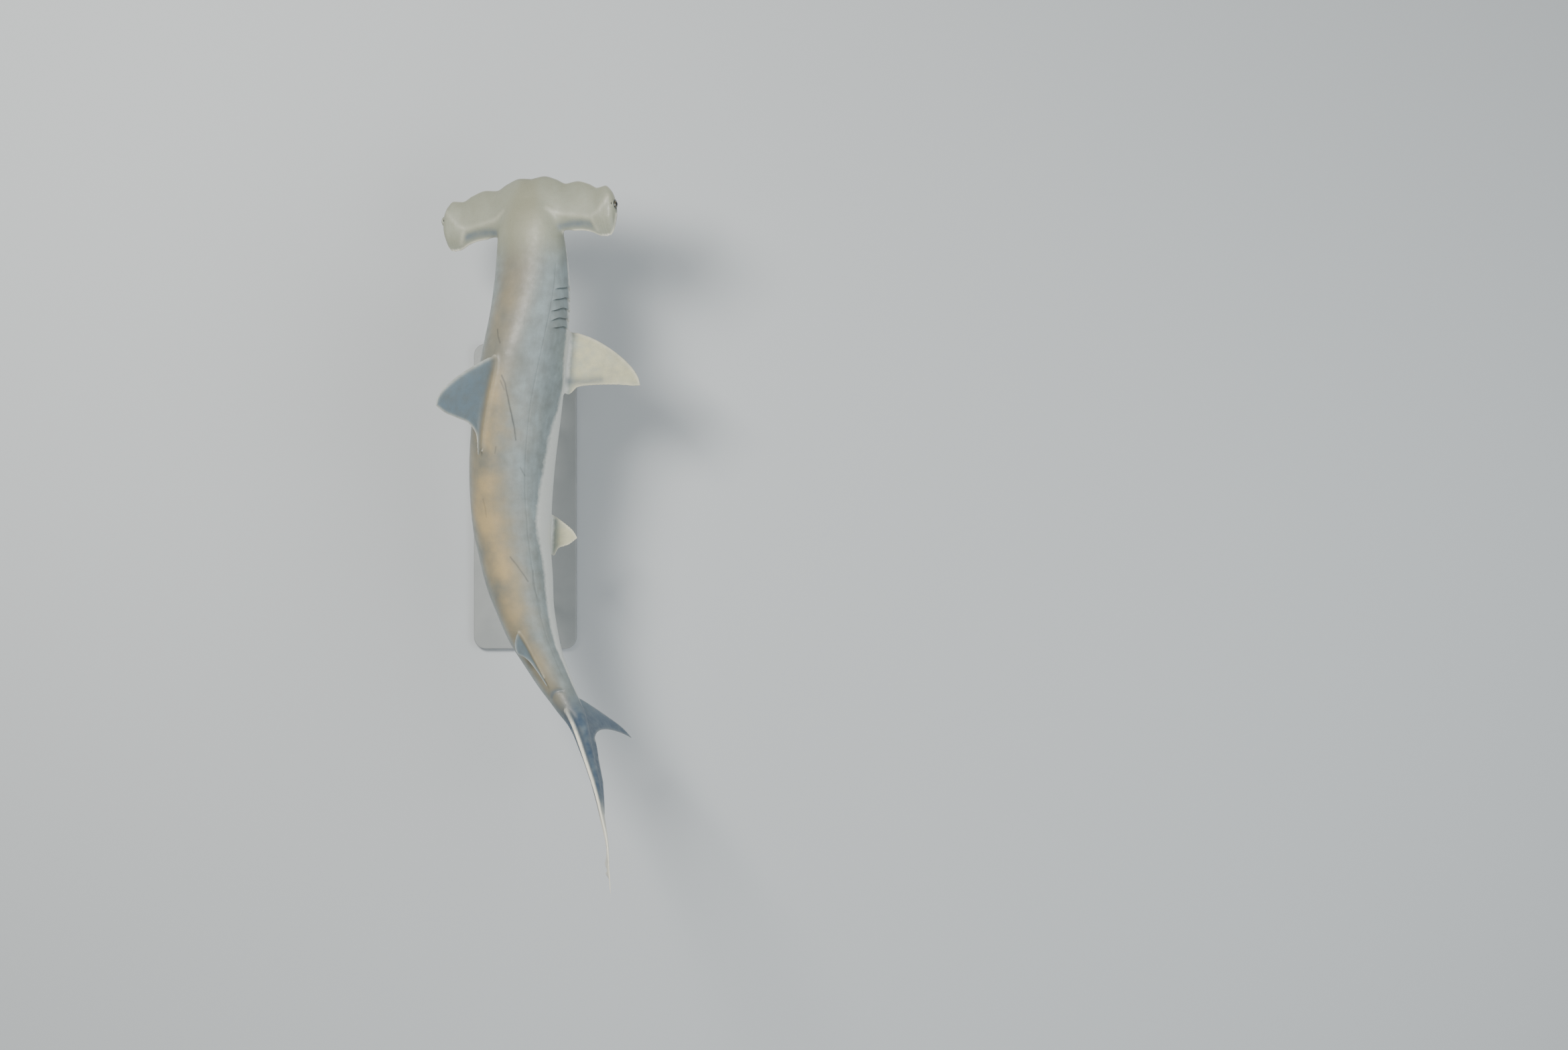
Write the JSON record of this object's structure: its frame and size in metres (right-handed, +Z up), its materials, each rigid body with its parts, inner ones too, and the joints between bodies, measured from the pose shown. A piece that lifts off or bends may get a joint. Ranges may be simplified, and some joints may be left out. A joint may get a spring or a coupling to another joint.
{
  "type": "scalloped hammerhead shark model",
  "caption": "Life-size still model of a swimming scalloped hammerhead shark, rolled and bent as it turns, on a flat base with short rods.",
  "frame": {"origin": "middle of the stand base's underside", "axes": "+Y towards the shark's head, +Z up, +X to the shark's right-hand side; the right side is rolled up"},
  "size_m": [0.6696, 2.3578, 1.0475],
  "materials": {
    "skin": "satin, fine denticles, grey-olive back and pale belly",
    "fin_skin": "satin, paler thin margins",
    "eye": "wet gloss, dark pupil in a dark gold iris",
    "stand": "matt pale grey lacquer",
    "stand_rod": "brushed"
  },
  "bodies": {
    "root": {"head": "skin", "neck": "skin", "torso_front": "skin", "torso_rear": "skin", "tail_stalk": "skin", "first_dorsal_fin": "fin_skin", "second_dorsal_fin": "fin_skin", "anal_fin": "fin_skin", "eye_left": "eye", "pectoral_fin_left": "fin_skin", "pelvic_fin_left": "fin_skin", "eye_right": "eye", "pectoral_fin_right": "fin_skin", "pelvic_fin_right": "fin_skin", "caudal_fin_upper": "fin_skin", "caudal_fin_lower": "fin_skin", "stand_base": "stand", "stand_rod_front": "stand_rod", "stand_rod_rear": "stand_rod"}
  },
  "joints": []
}
